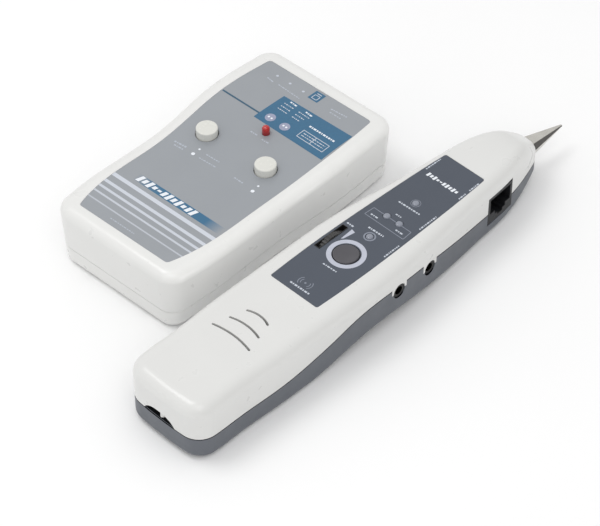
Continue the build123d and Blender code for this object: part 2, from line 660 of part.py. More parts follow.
def panel_block(inset):
    """Panel outline as an upright block."""
    near = (PANEL_NEAR_HALF - inset, PANEL_NEAR + inset)
    side = [(x - inset, y) for x, y in PANEL_SIDE]
    far = (PANEL_FAR_HALF - inset, PANEL_FAR - inset)
    right = Spline(near, *side, far)
    left = Spline((-near[0], near[1]), *[(-x, y) for x, y in side], (-far[0], far[1]))
    face = make_face([right, left, Line(left @ 0, right @ 0), Line(left @ 1, right @ 1)])
    block = extrude(Pos(0, 0, 20) * face, amount=15)
    return fillet(block.edges().filter_by(Axis.Z), PANEL_CORNER - inset)


def probe_top_holes():
    """Openings through the panel and the wall behind it."""
    holes = post(*POWER_AT, POWER_HOLE_RADIUS, 22, ABOVE)
    for x, y in PROBE_LAMPS:
        holes += post(x, y, LAMP_RADIUS + 0.1, 22, ABOVE)
    wheel_x, wheel_y = WHEEL_AT
    width, length = WHEEL_SLOT
    slot = box_between((wheel_x - width / 2, wheel_y - length / 2, 20),
                       (wheel_x + width / 2, wheel_y + length / 2, ABOVE))
    return holes + slot


def sound_slots():
    cuts = Part()
    for y, half in SOUND_SLOTS:
        line = ThreePointArc((-half, y - SOUND_SLOT_BULGE), (0, y), (half, y - SOUND_SLOT_BULGE))
        cuts += extrude(Pos(0, 0, 22) * SlotArc(line, SOUND_SLOT_WIDTH), 10)
    return cuts


def strap_arch():
    """Arched mouth in the tail wall, over the lower shell's straight edge."""
    low = PROBE_SEAM[0][1] - 0.8
    rise = ARCH_TOP - low
    spans = [(-1.0, 0.0), (-0.74, 0.62), (-0.38, 0.93), (0.0, 1.0), (0.38, 0.93), (0.74, 0.62), (1.0, 0.0)]
    curve = Spline(*[(ARCH_MIDDLE + ARCH_HALF * part, low + rise * height) for part, height in spans])
    face = make_face([curve, Line(curve @ 1, curve @ 0)])
    mouth = Plane(origin=(0, TAIL_FACE - 2, 0), x_dir=(1, 0, 0), z_dir=(0, -1, 0))
    return extrude(mouth * face, amount=-(STRAP_DEPTH + 2))


def side_frame(which):
    """Frame of a jack in a side wall of the probe: its face lies in the frame's plane x = 0."""
    if which == "right":
        y, z = JACK_RIGHT
        return Location((JACK_RIGHT_FACE, y, z), (0, 0, JACK_RIGHT_LEAN))
    y, z = JACK_LEFT
    return Location((-JACK_LEFT_FACE, y, z), (0, 0, 180 - JACK_LEFT_LEAN))


def phone_jack():
    return modular_jack(PHONE_WIDTH, PHONE_HEIGHT, PHONE_DEPTH, *PHONE_MOUTH)


def socket_frame(index):
    """Frame of a round side socket: local +Z points out of its mouth."""
    y, z, face_x = SIDE_SOCKETS[index]
    return Plane(origin=(face_x, y, z), x_dir=(0, 1, 0), z_dir=(1, 0, 0))


def socket_hood(index):
    """Square hood of the upper shell that comes down round the top half of a socket."""
    y, z, face_x = SIDE_SOCKETS[index]
    half = SOCKET_NOSE + HOOD_WALL
    return box_between((face_x - 6, y - half, z), (face_x + 6, y + half, z + half + 3))


def socket_holes():
    holes = Part()
    for index in range(len(SIDE_SOCKETS)):
        holes += extrude(socket_frame(index) * Pos(0, 0, -3) * Circle(SOCKET_NOSE + GAP), 6)
    return holes


def jack_cuts():
    right = side_frame("right") * wall_cut(JACK_WIDTH, JACK_HEIGHT)
    left = side_frame("left") * wall_cut(PHONE_WIDTH, PHONE_HEIGHT)
    return right + left


def tip_section(along, share):
    """Six-sided section of the tip, at a distance along its axis and at a share of its root size."""
    corners = [(x * share, y * share) for x, y in TIP_SECTION]
    return tip_axis() * Pos(0, 0, along) * make_face(Polyline(*corners, close=True))


def tip_hole():
    return extrude(tip_section(-6, 1.04), 12)


def tip_axis():
    """Frame at the root of the tip: local +Z runs out along it and local +Y runs up."""
    slope = TIP_DROOP / (TIP_END - NOSE_FACE)
    return Plane(origin=(0, NOSE_FACE, TIP_HEIGHT), x_dir=(-1, 0, 0), z_dir=(0, 1, -slope))


def probe_upper_shell(case, hollow):
    hoods = socket_hood(0) + socket_hood(1)
    walls = case - hollow
    shell = walls - under_probe_seam(0)
    shell += (walls & hoods) & under_probe_seam(-0.1)
    for (x, y), low in zip(PROBE_CASE_SCREWS, PROBE_BOSS_SPLIT):
        shell += post(x, y, UPPER_POST_RADIUS, low, ABOVE) & below(PROBE_CREST, WALL / 2)
    for x, y in PROBE_BOARD_SCREWS:
        boss = post(x, y, BOARD_BOSS_RADIUS, PROBE_BOARD + BOARD_THICK, ABOVE)
        shell += boss & below(PROBE_CREST, WALL / 2)
    x, y = SPEAKER_AT
    ring = post(x, y, SPEAKER_RADIUS + 1.3, 22, 25) - post(x, y, SPEAKER_RADIUS + 0.15, 20, 26)
    shell += ring
    strap_wall_near = TAIL_FACE + STRAP_DEPTH
    shell += box_between((-STRAP_WALL_HALF, strap_wall_near, STRAP_WALL_LOW),
                         (STRAP_WALL_HALF, strap_wall_near + 1.2, PROBE_CREST[0][1] - 0.6))
    for (x, y), low in zip(PROBE_CASE_SCREWS, PROBE_BOSS_SPLIT):
        shell -= post(x, y, SCREW_RADIUS + THREAD_FIT, low - 1, PROBE_SCREW_END + 1.2)
    for x, y in PROBE_BOARD_SCREWS:
        shell -= post(x, y, BOARD_SCREW_RADIUS + THREAD_FIT, PROBE_BOARD, BOARD_SCREW_END + 0.3)
    shell -= panel_block(0) - below(PROBE_CREST, LABEL_POCKET)
    shell -= probe_top_holes()
    shell -= sound_slots()
    shell -= strap_arch()
    shell += strap_post()
    return shell - jack_cuts() - socket_holes() - tip_hole()


def strap_post():
    """Short round post that hangs in the mouth of the arch for a strap."""
    y = TAIL_FACE + STRAP_POST_RADIUS + 0.3
    return post(-0.2, y, STRAP_POST_RADIUS, PROBE_SEAM[0][1] + 0.7, ARCH_TOP + 1.5)


def probe_lower_shell(case, hollow):
    hoods = socket_hood(0) + socket_hood(1)
    shell = ((case - hollow) & under_probe_seam(0)) - hoods
    groove = drafted_block(probe_outline, PROBE_DRAFT, -1)
    groove -= drafted_block(probe_outline, PROBE_DRAFT, SEAM_GROOVE)
    shell -= groove - under_probe_seam(SEAM_GROOVE)
    shell += door_rails(TAIL_FACE, PROBE_DOOR_FAR) & case
    for (x, y), high in zip(PROBE_CASE_SCREWS, PROBE_BOSS_SPLIT):
        shell += post(x, y, LOWER_POST_RADIUS, 0.5, high - 0.1) & case
    for (x, y), seat in zip(PROBE_CASE_SCREWS, PROBE_SCREW_SEATS):
        shell -= post(x, y, HEAD_WELL - 0.1, -1, seat + SCREW_HEAD_HEIGHT)
        shell -= post(x, y, SCREW_PASSAGE, -1, 15)
    shell -= door_opening(TAIL_FACE, PROBE_DOOR_FAR)
    return shell - jack_cuts() - socket_holes() - tip_hole()


def probe_panel():
    panel = panel_block(LABEL_GAP) & below(PROBE_CREST, LABEL_POCKET - LABEL_THICK)
    panel -= below(PROBE_CREST, LABEL_POCKET)
    return panel - probe_top_holes()


def power_button():
    """Round cap with a shallow finger dish, a skirt round the switch and a retaining flange."""
    x, y = POWER_AT
    cap = post(x, y, POWER_RADIUS, 23.0, POWER_TOP)
    cap = cap.fillet(0.4, cap.faces().sort_by(Axis.Z)[-1].edges())
    cap += post(x, y, POWER_RADIUS + 0.6, 23.0, 23.8)
    cap -= post(x, y, 4.0, 20, 25.05)
    dish = 22.0
    return cap - Pos(x, y, POWER_TOP + dish - 0.45) * Sphere(dish)


def power_plunger():
    return post(*POWER_AT, 1.5, 22.4, 25.05)


def power_switch():
    x, y = POWER_AT
    low = PROBE_BOARD + BOARD_THICK
    body = box_between((x - 2.6, y - 2.6, low), (x + 2.6, y + 2.6, 23.8))
    body = chamfer(body.edges().filter_by(Axis.Z), 0.4)
    return body - post(x, y, 1.56, low + 0.15, 30)


def wheel_frame():
    """Frame of the volume wheel's axis, which runs across the wand."""
    x, y = WHEEL_AT
    return Plane(origin=(x, y, WHEEL_HEIGHT), x_dir=(0, 1, 0), z_dir=(1, 0, 0))


def volume_wheel():
    frame = wheel_frame()
    half = WHEEL_THICK / 2
    wheel = extrude(frame * Pos(0, 0, -half) * (Circle(WHEEL_RADIUS) - Circle(SPINDLE_RADIUS)), WHEEL_THICK)
    notches = Part()
    for index in range(WHEEL_NOTCHES):
        turn = Rot(0, 0, 360 / WHEEL_NOTCHES * index)
        notches += frame * turn * Pos(WHEEL_RADIUS + 0.05, 0) * Cylinder(0.3, WHEEL_THICK + 1)
    hollow = frame * Pos(0, 0, half) * (Cylinder(7.5, 0.8) - Cylinder(3.5, 0.8))
    return wheel - notches - hollow


def volume_spindle():
    length = POT_FAR - WHEEL_AT[0] + WHEEL_THICK / 2 - 0.5
    return extrude(wheel_frame() * Pos(0, 0, -WHEEL_THICK / 2) * Circle(SPINDLE_RADIUS), length)


def volume_pot():
    x, y = WHEEL_AT
    low = WHEEL_HEIGHT - 4.6
    body = box_between((x + WHEEL_THICK / 2 + 0.5, y - 4.8, low), (POT_FAR, y + 4.8, PROBE_BOARD))
    bore = extrude(wheel_frame() * Circle(SPINDLE_RADIUS + SPINDLE_CLEARANCE), 20)
    return chamfer(body.faces().sort_by(Axis.Z)[0].edges(), 0.8) - bore


def probe_lamp(x, y):
    top = LAMP_TOP
    lens = post(x, y, LAMP_RADIUS, PROBE_BOARD + BOARD_THICK, top)
    return lens.fillet(0.9, lens.faces().sort_by(Axis.Z)[-1].edges())


def socket_housing(index):
    y, z, face_x = SIDE_SOCKETS[index]
    half = 3.9
    body = box_between((face_x - SOCKET_DEPTH, y - half, z - half), (face_x - 3.2, y + half, PROBE_BOARD))
    body = chamfer(body.faces().sort_by(Axis.Z)[0].edges(), 0.5)
    nose = extrude(socket_frame(index) * Pos(0, 0, -3.4) * Circle(SOCKET_NOSE), 2.8)
    bore = extrude(socket_frame(index) * Pos(0, 0, -SOCKET_DEPTH + 1.5) * Circle(SOCKET_SLEEVE), 20)
    return body + nose - bore


def socket_sleeve(index):
    ring = Circle(SOCKET_SLEEVE) - Circle(SOCKET_BORE)
    return extrude(socket_frame(index) * Pos(0, 0, -SOCKET_DEPTH + 1.5) * ring, SOCKET_DEPTH - 2.1)


def tip_shank(radius, length):
    """Round rod that runs back from the tip's root along its axis."""
    return tip_axis() * Pos(0, 0, -length) * Cylinder(radius, length,
                                                      align=(Align.CENTER, Align.CENTER, Align.MIN))


def probe_tip():
    """Solid six-sided metal point on a round shank."""
    point = loft([tip_section(0, 1), tip_section(TIP_END - NOSE_FACE, TIP_END_SHARE)], ruled=True)
    root = extrude(tip_section(-1.8, 1), 1.8)
    return point + root + tip_shank(TIP_SHANK_RADIUS, TIP_SHANK)


def probe_tip_holder():
    """Insulating bulkhead across the nose that grips the shank."""
    block = box_between((-10, 80.4, TIP_HEIGHT - 3.4), (10, 86.4, TIP_HEIGHT + 4.4))
    block &= drafted_block(probe_outline, PROBE_DRAFT, WALL + 0.05)
    return block - tip_shank(TIP_SHANK_RADIUS + 0.05, 20)


def probe_tip_contact():
    """Wire that joins the tip's shank to the circuit board."""
    height = TIP_HEIGHT + 1.0
    route = [(0, NOSE_FACE - TIP_SHANK - 0.1, height), (0, 77.9, height), (5.4, 77.9, height),
             (5.4, 69.6, height), (5.4, 69.6, PROBE_BOARD)]
    path = FilletPolyline(*route, radius=0.8)
    return sweep(Plane(origin=path @ 0, z_dir=path % 0) * Circle(TIP_WIRE_RADIUS), path)


def speaker_basket():
    x, y = SPEAKER_AT
    return post(x, y, SPEAKER_RADIUS, 21.4, 23.9) - post(x, y, 8.6, 22.2, 25) - post(x, y, 4.2, 20, 25)


def speaker_cone():
    """Shallow dished diaphragm glued to the basket's rim."""
    x, y = SPEAKER_AT
    lens = Pos(x, y, 22.9 + 40) * (Sphere(40) - Sphere(39.7))
    return lens & post(x, y, 8.5, 22.3, 24)


def speaker_magnet():
    return post(*SPEAKER_AT, 4.1, 20.2, 22.2)


def probe_board():
    near, far = PROBE_BOARD_SPAN
    low = PROBE_BOARD
    board = extrude(Pos(0, 0, low) * probe_outline(3.4), BOARD_THICK)
    board &= box_between((-REACH, near, low), (REACH, far, low + BOARD_THICK))
    x, y = WHEEL_AT
    half = WHEEL_RADIUS + 0.3
    board -= box_between((x - 1.6, y - half, low - 1), (x + 1.6, y + half, low + 3))
    for x, y in PROBE_BOARD_SCREWS:
        board -= post(x, y, BOARD_SCREW_RADIUS + 0.1, low - 1, ABOVE)
    return board - jack_cuts()


def build_probe():
    case = probe_case()
    hollow = probe_hollow()
    right = side_frame("right")
    left = side_frame("left")
    snap_far = PROBE_CELL_NEAR + CELL_LENGTH + 0.1 + SNAP_THICK
    nodes = {
        "probe_upper_shell": probe_upper_shell(case, hollow),
        "probe_lower_shell": probe_lower_shell(case, hollow),
        "probe_panel": probe_panel(),
        "probe_power_button": power_button(),
        "probe_power_plunger": power_plunger(),
        "probe_power_switch": power_switch(),
        "volume_wheel": volume_wheel(),
        "volume_spindle": volume_spindle(),
        "volume_pot": volume_pot(),
        "probe_lamps": group([probe_lamp(x, y) for x, y in PROBE_LAMPS]),
        "probe_network_jack": right * network_jack(),
        "probe_jack_contacts": right * jack_contacts(8, JACK_HEIGHT, JACK_DEPTH),
        "probe_phone_jack": left * phone_jack(),
        "probe_phone_contacts": left * jack_contacts(6, PHONE_HEIGHT, PHONE_DEPTH),
        "probe_side_sockets": group([socket_housing(0), socket_housing(1)]),
        "probe_socket_sleeves": group([socket_sleeve(0), socket_sleeve(1)]),
        "probe_tip": probe_tip(),
        "probe_tip_holder": probe_tip_holder(),
        "probe_tip_contact": probe_tip_contact(),
        "speaker_basket": speaker_basket(),
        "speaker_cone": speaker_cone(),
        "speaker_magnet": speaker_magnet(),
        "probe_circuit_board": probe_board(),
        "probe_battery": battery(0, PROBE_CELL_NEAR, CELL_FLOOR),
        "probe_battery_snap": battery_snap(0, PROBE_CELL_NEAR, CELL_FLOOR),
        "probe_battery_door": door_plate(case, TAIL_FACE, PROBE_DOOR_FAR),
        "probe_case_screws": group([
            screw(x, y, seat, PROBE_SCREW_END, SCREW_RADIUS, SCREW_HEAD_RADIUS, SCREW_HEAD_HEIGHT)
            for (x, y), seat in zip(PROBE_CASE_SCREWS, PROBE_SCREW_SEATS)]),
        "probe_board_screws": group([
            screw(x, y, PROBE_BOARD - BOARD_SCREW_HEAD_HEIGHT, BOARD_SCREW_END, BOARD_SCREW_RADIUS,
                  BOARD_SCREW_HEAD_RADIUS, BOARD_SCREW_HEAD_HEIGHT)
            for x, y in PROBE_BOARD_SCREWS]),
    }
    for colour, x in (("red", -2.6), ("black", 2.6)):
        route = [(x, snap_far, 13.2), (x, -28.5, 13.2), (x, -28.5, PROBE_BOARD)]
        nodes[f"probe_lead_{colour}"] = lead(route, 3.0)
    return nodes


# ================================================================ the kit
def build_kit():
    toner_place = Pos(*TONER_AT, 0)
    probe_place = Pos(*PROBE_AT, 0) * Rot(0, 0, PROBE_TURN)
    placed = {name: toner_place * shape for name, shape in build_toner().items()}
    placed.update({name: probe_place * shape for name, shape in build_probe().items()})
    return placed


if __name__ == "__main__":
    kit = build_kit()
    for name, shape in kit.items():
        export_step(shape, f"parts/{name}.step")
    whole = Compound([solid for shape in kit.values() for solid in shape.solids()])
    print("footprint centre", whole.bounding_box().center(), "size", whole.bounding_box().size)
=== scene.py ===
"""Looks of the tone probe kit: surfaces, printed faces, floor, light and camera.

Blender works in metres.
"""

import math

import bmesh
import bpy
from mathutils import Matrix, Vector
from mathutils.bvhtree import BVHTree


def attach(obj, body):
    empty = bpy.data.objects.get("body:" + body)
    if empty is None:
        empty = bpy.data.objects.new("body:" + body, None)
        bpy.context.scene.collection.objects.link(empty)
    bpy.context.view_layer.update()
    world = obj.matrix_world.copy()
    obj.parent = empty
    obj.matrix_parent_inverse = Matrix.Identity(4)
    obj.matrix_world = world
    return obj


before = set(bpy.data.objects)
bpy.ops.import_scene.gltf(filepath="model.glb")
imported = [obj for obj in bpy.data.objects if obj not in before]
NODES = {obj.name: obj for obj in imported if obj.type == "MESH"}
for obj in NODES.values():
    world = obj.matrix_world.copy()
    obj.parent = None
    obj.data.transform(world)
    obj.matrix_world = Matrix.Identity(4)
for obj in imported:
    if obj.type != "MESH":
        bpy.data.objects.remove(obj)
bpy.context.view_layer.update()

MM = 0.001
TONER_AT = (-25.31, -7.95)
PROBE_AT = (39.49, -5.65)
PROBE_TURN = -2.14
TONER = Matrix.Translation((TONER_AT[0] * MM, TONER_AT[1] * MM, 0))
PROBE = (Matrix.Translation((PROBE_AT[0] * MM, PROBE_AT[1] * MM, 0))
         @ Matrix.Rotation(math.radians(PROBE_TURN), 4, "Z"))
INK_LIFT = 0.03                 # ink above the face it is printed on, in millimetres
INK_STEP = 2.0                  # length of the strips that printed shapes are cut into
FACE_HEIGHT = 0.027             # about the height of both printed faces, in metres
ABOVE_ALL = 0.1                 # height that ink is dropped from, in metres
SMOOTH_ANGLE = 32.0             # degrees; sharper edges stay crisp
COAT_ROUGHNESS = 0.12


# ================================================================ colours and node trees
def srgb(red, green, blue):
    """Screen colour, 0 to 255, as the linear colour that shaders take."""
    def linear(part):
        part /= 255
        return part / 12.92 if part <= 0.04045 else ((part + 0.055) / 1.055) ** 2.4
    return (linear(red), linear(green), linear(blue), 1.0)


def scaled(colour, share):
    return tuple(min(1.0, part * share) for part in colour[:3]) + (1.0,)


class Tree:
    """A material's node tree with short ways to add and join nodes."""

    def __init__(self, name):
        self.material = bpy.data.materials.new(name)
        self.material.use_nodes = True
        self.nodes = self.material.node_tree.nodes
        self.links = self.material.node_tree.links
        self.shader = self.nodes["Principled BSDF"]
        self.coordinates = self.nodes.new("ShaderNodeTexCoord").outputs["Object"]

    def join(self, value, socket):
        if isinstance(value, bpy.types.NodeSocket):
            self.links.new(value, socket)
        else:
            socket.default_value = value

    def noise(self, scale, detail=3.0, stretch=(1, 1, 1)):
        mapping = self.nodes.new("ShaderNodeMapping")
        mapping.inputs["Scale"].default_value = stretch
        self.links.new(self.coordinates, mapping.inputs["Vector"])
        noise = self.nodes.new("ShaderNodeTexNoise")
        noise.inputs["Scale"].default_value = scale
        noise.inputs["Detail"].default_value = detail
        self.links.new(mapping.outputs["Vector"], noise.inputs["Vector"])
        return noise.outputs["Fac"]

    def span(self, value, low, high, to_low=0.0, to_high=1.0):
        node = self.nodes.new("ShaderNodeMapRange")
        self.join(value, node.inputs["Value"])
        node.inputs["From Min"].default_value = low
        node.inputs["From Max"].default_value = high
        node.inputs["To Min"].default_value = to_low
        node.inputs["To Max"].default_value = to_high
        return node.outputs["Result"]

    def mix(self, share, first, second):
        node = self.nodes.new("ShaderNodeMix")
        node.data_type = "RGBA"
        self.join(share, node.inputs["Factor"])
        colours = [socket for socket in node.inputs if socket.type == "RGBA"]
        self.join(first, colours[0])
        self.join(second, colours[1])
        return [socket for socket in node.outputs if socket.type == "RGBA"][0]

    def math(self, operation, first, second=0.0):
        node = self.nodes.new("ShaderNodeMath")
        node.operation = operation
        self.join(first, node.inputs[0])
        self.join(second, node.inputs[1])
        return node.outputs[0]

    def axis(self, letter):
        node = self.nodes.new("ShaderNodeSeparateXYZ")
        self.links.new(self.coordinates, node.inputs[0])
        return node.outputs[letter]

    def ramp(self, value, stops, smooth=False):
        node = self.nodes.new("ShaderNodeValToRGB")
        node.color_ramp.interpolation = "LINEAR" if smooth else "CONSTANT"
        elements = node.color_ramp.elements
        elements[0].position = stops[0][0]
        elements[0].color = (stops[0][1],) * 3 + (1,)
        elements[1].position = stops[1][0]
        elements[1].color = (stops[1][1],) * 3 + (1,)
        for place, level in stops[2:]:
            element = elements.new(place)
            element.color = (level,) * 3 + (1,)
        self.join(value, node.inputs["Fac"])
        return node.outputs["Color"]

    def bump(self, height, strength, depth_mm, under=None):
        node = self.nodes.new("ShaderNodeBump")
        node.inputs["Strength"].default_value = strength
        node.inputs["Distance"].default_value = depth_mm * MM
        self.links.new(height, node.inputs["Height"])
        if under:
            self.links.new(under, node.inputs["Normal"])
        return node.outputs["Normal"]

    def rounded(self, radius_mm):
        """Normals softened over sharp edges."""
        node = self.nodes.new("ShaderNodeBevel")
        node.samples = 4
        node.inputs["Radius"].default_value = radius_mm * MM
        return node.outputs["Normal"]

    def edges(self, normal):
        """1 on sharp edges and 0 on open faces."""
        geometry = self.nodes.new("ShaderNodeNewGeometry")
        product = self.nodes.new("ShaderNodeVectorMath")
        product.operation = "DOT_PRODUCT"
        self.links.new(normal, product.inputs[0])
        self.links.new(geometry.outputs["Normal"], product.inputs[1])
        return self.span(self.math("SUBTRACT", 1.0, product.outputs["Value"]), 0.004, 0.12)


def surface(name, base, rough, metallic=0.0, specular=0.5, coat=0.0, spread=0.04, patch=90.0,
            grain=2600.0, grain_depth=0.012, grain_strength=0.35, stretch=(1, 1, 1),
            rough_spread=0.06, edge_wear_and_sheen=0.0, rounding=0.0, pattern=None):
    """A moulded, painted or metal surface: uneven colour and gloss, fine grain and lightened sharp edges,
    partly wear and partly painted highlight.
    """
    tree = Tree(name)
    shader = tree.shader
    shader.inputs["Metallic"].default_value = metallic
    shader.inputs["Specular IOR Level"].default_value = specular
    shader.inputs["Coat Weight"].default_value = coat
    shader.inputs["Coat Roughness"].default_value = COAT_ROUGHNESS
    clouds = tree.noise(patch, 4.0)
    colour = tree.mix(tree.span(clouds, 0.3, 0.7), scaled(base, 1 - spread), scaled(base, 1 + spread))
    if pattern:
        colour = pattern(tree, colour)
    grains = tree.noise(grain, 2.0, stretch)
    colour = tree.mix(tree.span(grains, 0.25, 0.75, 0.0, 0.5 * spread), colour, scaled(base, 0.6))
    normal = None
    if rounding:
        normal = tree.rounded(rounding)
        if edge_wear_and_sheen:
            # Sharp edges blend towards a paler copy of the base: partly wear, partly a painted highlight
            # along the edges.
            worn_and_sheen_edges = tree.math("MULTIPLY", tree.edges(normal), tree.span(clouds, 0.35, 0.75, 0.3, 1.0))
            colour = tree.mix(tree.math("MULTIPLY", worn_and_sheen_edges, edge_wear_and_sheen), colour, scaled(base, 1.5))
    tree.links.new(colour, shader.inputs["Base Color"])
    smears = tree.noise(patch * 3.3, 5.0, stretch)
    tree.links.new(tree.span(smears, 0.3, 0.7, rough - rough_spread, rough + rough_spread),
                   shader.inputs["Roughness"])
    tree.links.new(tree.bump(grains, grain_strength, grain_depth, normal), shader.inputs["Normal"])
    return tree.material


# ================================================================ patterns
TONER_LABEL_STRIPES = (-49.0, -30.5)            # span of the stripes along the toner
STRIPES = [(-46.9, 0.60, 0.60), (-43.2, 0.85, 0.80), (-40.1, 1.15, 0.90), (-36.8, 1.45, 0.95),
           (-32.3, 1.75, 1.00)]                 # middle, width, strength
TITLE_BAND = (-29.4, -25.4)
TITLE_SPAN = (-18.5, 24.5)
STRIPE_PALE = srgb(203, 208, 217)
TITLE_BLUE = srgb(50, 104, 138)
LAMP_HEIGHTS = (27.0, 31.0)                     # foot and top of the signal lamp


def label_print(tree, colour):
    """Pale stripes over the near end and a blue title band that fades out at both ends."""
    along = tree.axis("Y")
    across = tree.axis("X")
    near, far = TONER_LABEL_STRIPES
    place = tree.span(along, (TONER_AT[1] + near) * MM, (TONER_AT[1] + far) * MM)
    stops = [(0.0, 0.0)]
    for middle, width, level in STRIPES:
        stops.append(((middle - width / 2 - near) / (far - near), level))
        stops.append(((middle + width / 2 - near) / (far - near), 0.0))
    colour = tree.mix(tree.ramp(place, stops), colour, STRIPE_PALE)
    low, high = TITLE_BAND
    length = high - low + 2
    window = tree.ramp(tree.span(along, (TONER_AT[1] + low - 1) * MM, (TONER_AT[1] + high + 1) * MM),
                       [(0.0, 0.0), (1 / length, 1.0), ((length - 1) / length, 0.0)])
    start, end = TITLE_SPAN
    fade = tree.ramp(tree.span(across, (TONER_AT[0] + start) * MM, (TONER_AT[0] + end) * MM),
                     [(0.0, 0.0), (0.16, 0.85), (0.30, 1.0), (0.82, 1.0), (1.0, 0.0)], smooth=True)
    return tree.mix(tree.math("MULTIPLY", window, fade), colour, TITLE_BLUE)


def board_print(tree, colour):
    """Copper tracks under the solder mask."""
    tracks = tree.nodes.new("ShaderNodeTexBrick")
    tracks.inputs["Scale"].default_value = 260.0
    tracks.inputs["Mortar Size"].default_value = 0.035
    tracks.inputs["Color1"].default_value = (0, 0, 0, 1)
    tracks.inputs["Color2"].default_value = (0, 0, 0, 1)
    tracks.inputs["Mortar"].default_value = (1, 1, 1, 1)
    tree.links.new(tree.coordinates, tracks.inputs["Vector"])
    return tree.mix(tree.math("MULTIPLY", tracks.outputs["Color"], 0.6), colour, (0.10, 0.36, 0.16, 1))


def battery_print(tree, colour):
    """Plain two-colour can: dark with copper bands across its length."""
    stripe = tree.span(tree.noise(14.0, 0.0, (0.2, 6.0, 0.2)), 0.52, 0.54)
    return tree.mix(stripe, colour, (0.42, 0.20, 0.09, 1))


CASE_WHITE = srgb(219, 219, 217)
SLATE = srgb(94, 98, 105)
PANEL = srgb(66, 73, 85)

MATERIALS = {
    "case_white": surface("case_white", CASE_WHITE, 0.29, coat=0.3, rough_spread=0.02, spread=0.012,
                          patch=45, grain=3200, grain_depth=0.008, edge_wear_and_sheen=0.35, rounding=0.25),
    "cap_white": surface("cap_white", srgb(217, 217, 211), 0.26, spread=0.012, patch=120, grain=4200,
                         grain_depth=0.004, edge_wear_and_sheen=0.3, rounding=0.2),
    "face_label": surface("face_label", srgb(150, 154, 159), 0.44, metallic=0.15, spread=0.02, patch=35,
                          grain=5200, grain_depth=0.004, grain_strength=0.25, pattern=label_print),
    "lamp_pale": surface("lamp_pale", srgb(132, 137, 149), 0.26, coat=0.4, spread=0.05, patch=600,
                         grain=4000, grain_depth=0.003),
    "slate_shell": surface("slate_shell", SLATE, 0.42, spread=0.03, patch=60, grain=3000,
                           grain_depth=0.014, edge_wear_and_sheen=0.5, rounding=0.25),
    "panel_slate": surface("panel_slate", PANEL, 0.38, spread=0.025, patch=70, grain=4400,
                           grain_depth=0.005, edge_wear_and_sheen=0.35, rounding=0.12),
    "button_slate": surface("button_slate", srgb(72, 71, 76), 0.38, spread=0.05, patch=260, grain=3600,
                            grain_depth=0.010, edge_wear_and_sheen=0.6, rounding=0.25),
    "wheel_black": surface("wheel_black", srgb(46, 45, 45), 0.42, spread=0.08, patch=300, grain=3000,
                           grain_depth=0.012, edge_wear_and_sheen=1.0, rounding=0.2),
    "inner_black": surface("inner_black", srgb(27, 28, 31), 0.42, specular=0.35, spread=0.06, patch=200,
                           grain=3400, grain_depth=0.008, edge_wear_and_sheen=0.5, rounding=0.12),
    "contact_gold": surface("contact_gold", (0.83, 0.62, 0.28, 1), 0.24, metallic=1.0, spread=0.05,
                            patch=500, grain=2500, grain_depth=0.003, stretch=(1, 0.2, 1)),
    "bright_steel": surface("bright_steel", srgb(198, 196, 190), 0.22, metallic=1.0, spread=0.05,
                            patch=260, grain=2400, grain_depth=0.004, stretch=(1, 0.05, 1), edge_wear_and_sheen=0.5,
                            rounding=0.12),
    "screw_steel": surface("screw_steel", srgb(180, 180, 184), 0.34, metallic=1.0, spread=0.06,
                           patch=400, grain=3000, grain_depth=0.005, edge_wear_and_sheen=0.4, rounding=0.15),
    "circuit_green": surface("circuit_green", (0.015, 0.16, 0.065, 1), 0.30, coat=0.3, spread=0.08,
                             patch=180, grain=2600, pattern=board_print),
    "battery_can": surface("battery_can", (0.05, 0.05, 0.06, 1), 0.30, metallic=0.4, spread=0.05,
                           patch=80, grain=2200, edge_wear_and_sheen=0.6, rounding=0.3, pattern=battery_print),
    "snap_black": surface("snap_black", (0.02, 0.02, 0.022, 1), 0.55, spread=0.1, patch=200, grain=2000),
    "lead_red": surface("lead_red", (0.50, 0.02, 0.02, 1), 0.45, spread=0.06, patch=300, grain=2600),
    "lead_black": surface("lead_black", (0.02, 0.02, 0.02, 1), 0.45, spread=0.1, patch=300, grain=2600),
    "pot_grey": surface("pot_grey", srgb(150, 151, 154), 0.40, metallic=0.7, spread=0.06, patch=250,
                        grain=2600, edge_wear_and_sheen=0.4, rounding=0.2),
    "speaker_paper": surface("speaker_paper", (0.035, 0.033, 0.03, 1), 0.85, specular=0.2, spread=0.2,
                             patch=700, grain=1800, grain_depth=0.05, grain_strength=0.6),
    "magnet_iron": surface("magnet_iron", (0.10, 0.10, 0.105, 1), 0.55, metallic=0.6, spread=0.1,
                           patch=300, grain=1500, grain_depth=0.03),
    # Near-black sleeves in the side sockets: painted shade of the deep holes, not the metal's own colour.
    "socket_sleeve_shade": surface("socket_sleeve_shade", (0.055, 0.053, 0.05, 1), 0.30, metallic=1.0, spread=0.08,
                             patch=500, grain=3000, grain_depth=0.004, edge_wear_and_sheen=0.5, rounding=0.1),
}


def lamp_glass():
    """Red tinted lens, brighter towards its top: painted light, as if lit from above."""
    tree = Tree("lamp_red")
    # Painted light: the lens colour runs from dark at its foot to bright at its top.
    painted_top_light = tree.span(tree.axis("Z"), LAMP_HEIGHTS[0] * MM, LAMP_HEIGHTS[1] * MM)
    flow = tree.noise(700.0, 3.0)
    shade = tree.mix(painted_top_light, (0.30, 0.004, 0.008, 1), (0.62, 0.012, 0.012, 1))
    shade = tree.mix(tree.span(flow, 0.4, 0.7, 0.0, 0.3), shade, (0.80, 0.05, 0.04, 1))
    tree.links.new(shade, tree.shader.inputs["Base Color"])
    tree.links.new(tree.span(flow, 0.3, 0.7, 0.08, 0.16), tree.shader.inputs["Roughness"])
    tree.shader.inputs["Transmission Weight"].default_value = 0.25
    tree.shader.inputs["Coat Weight"].default_value = 0.5
    tree.links.new(tree.bump(flow, 0.1, 0.01), tree.shader.inputs["Normal"])
    return tree.material


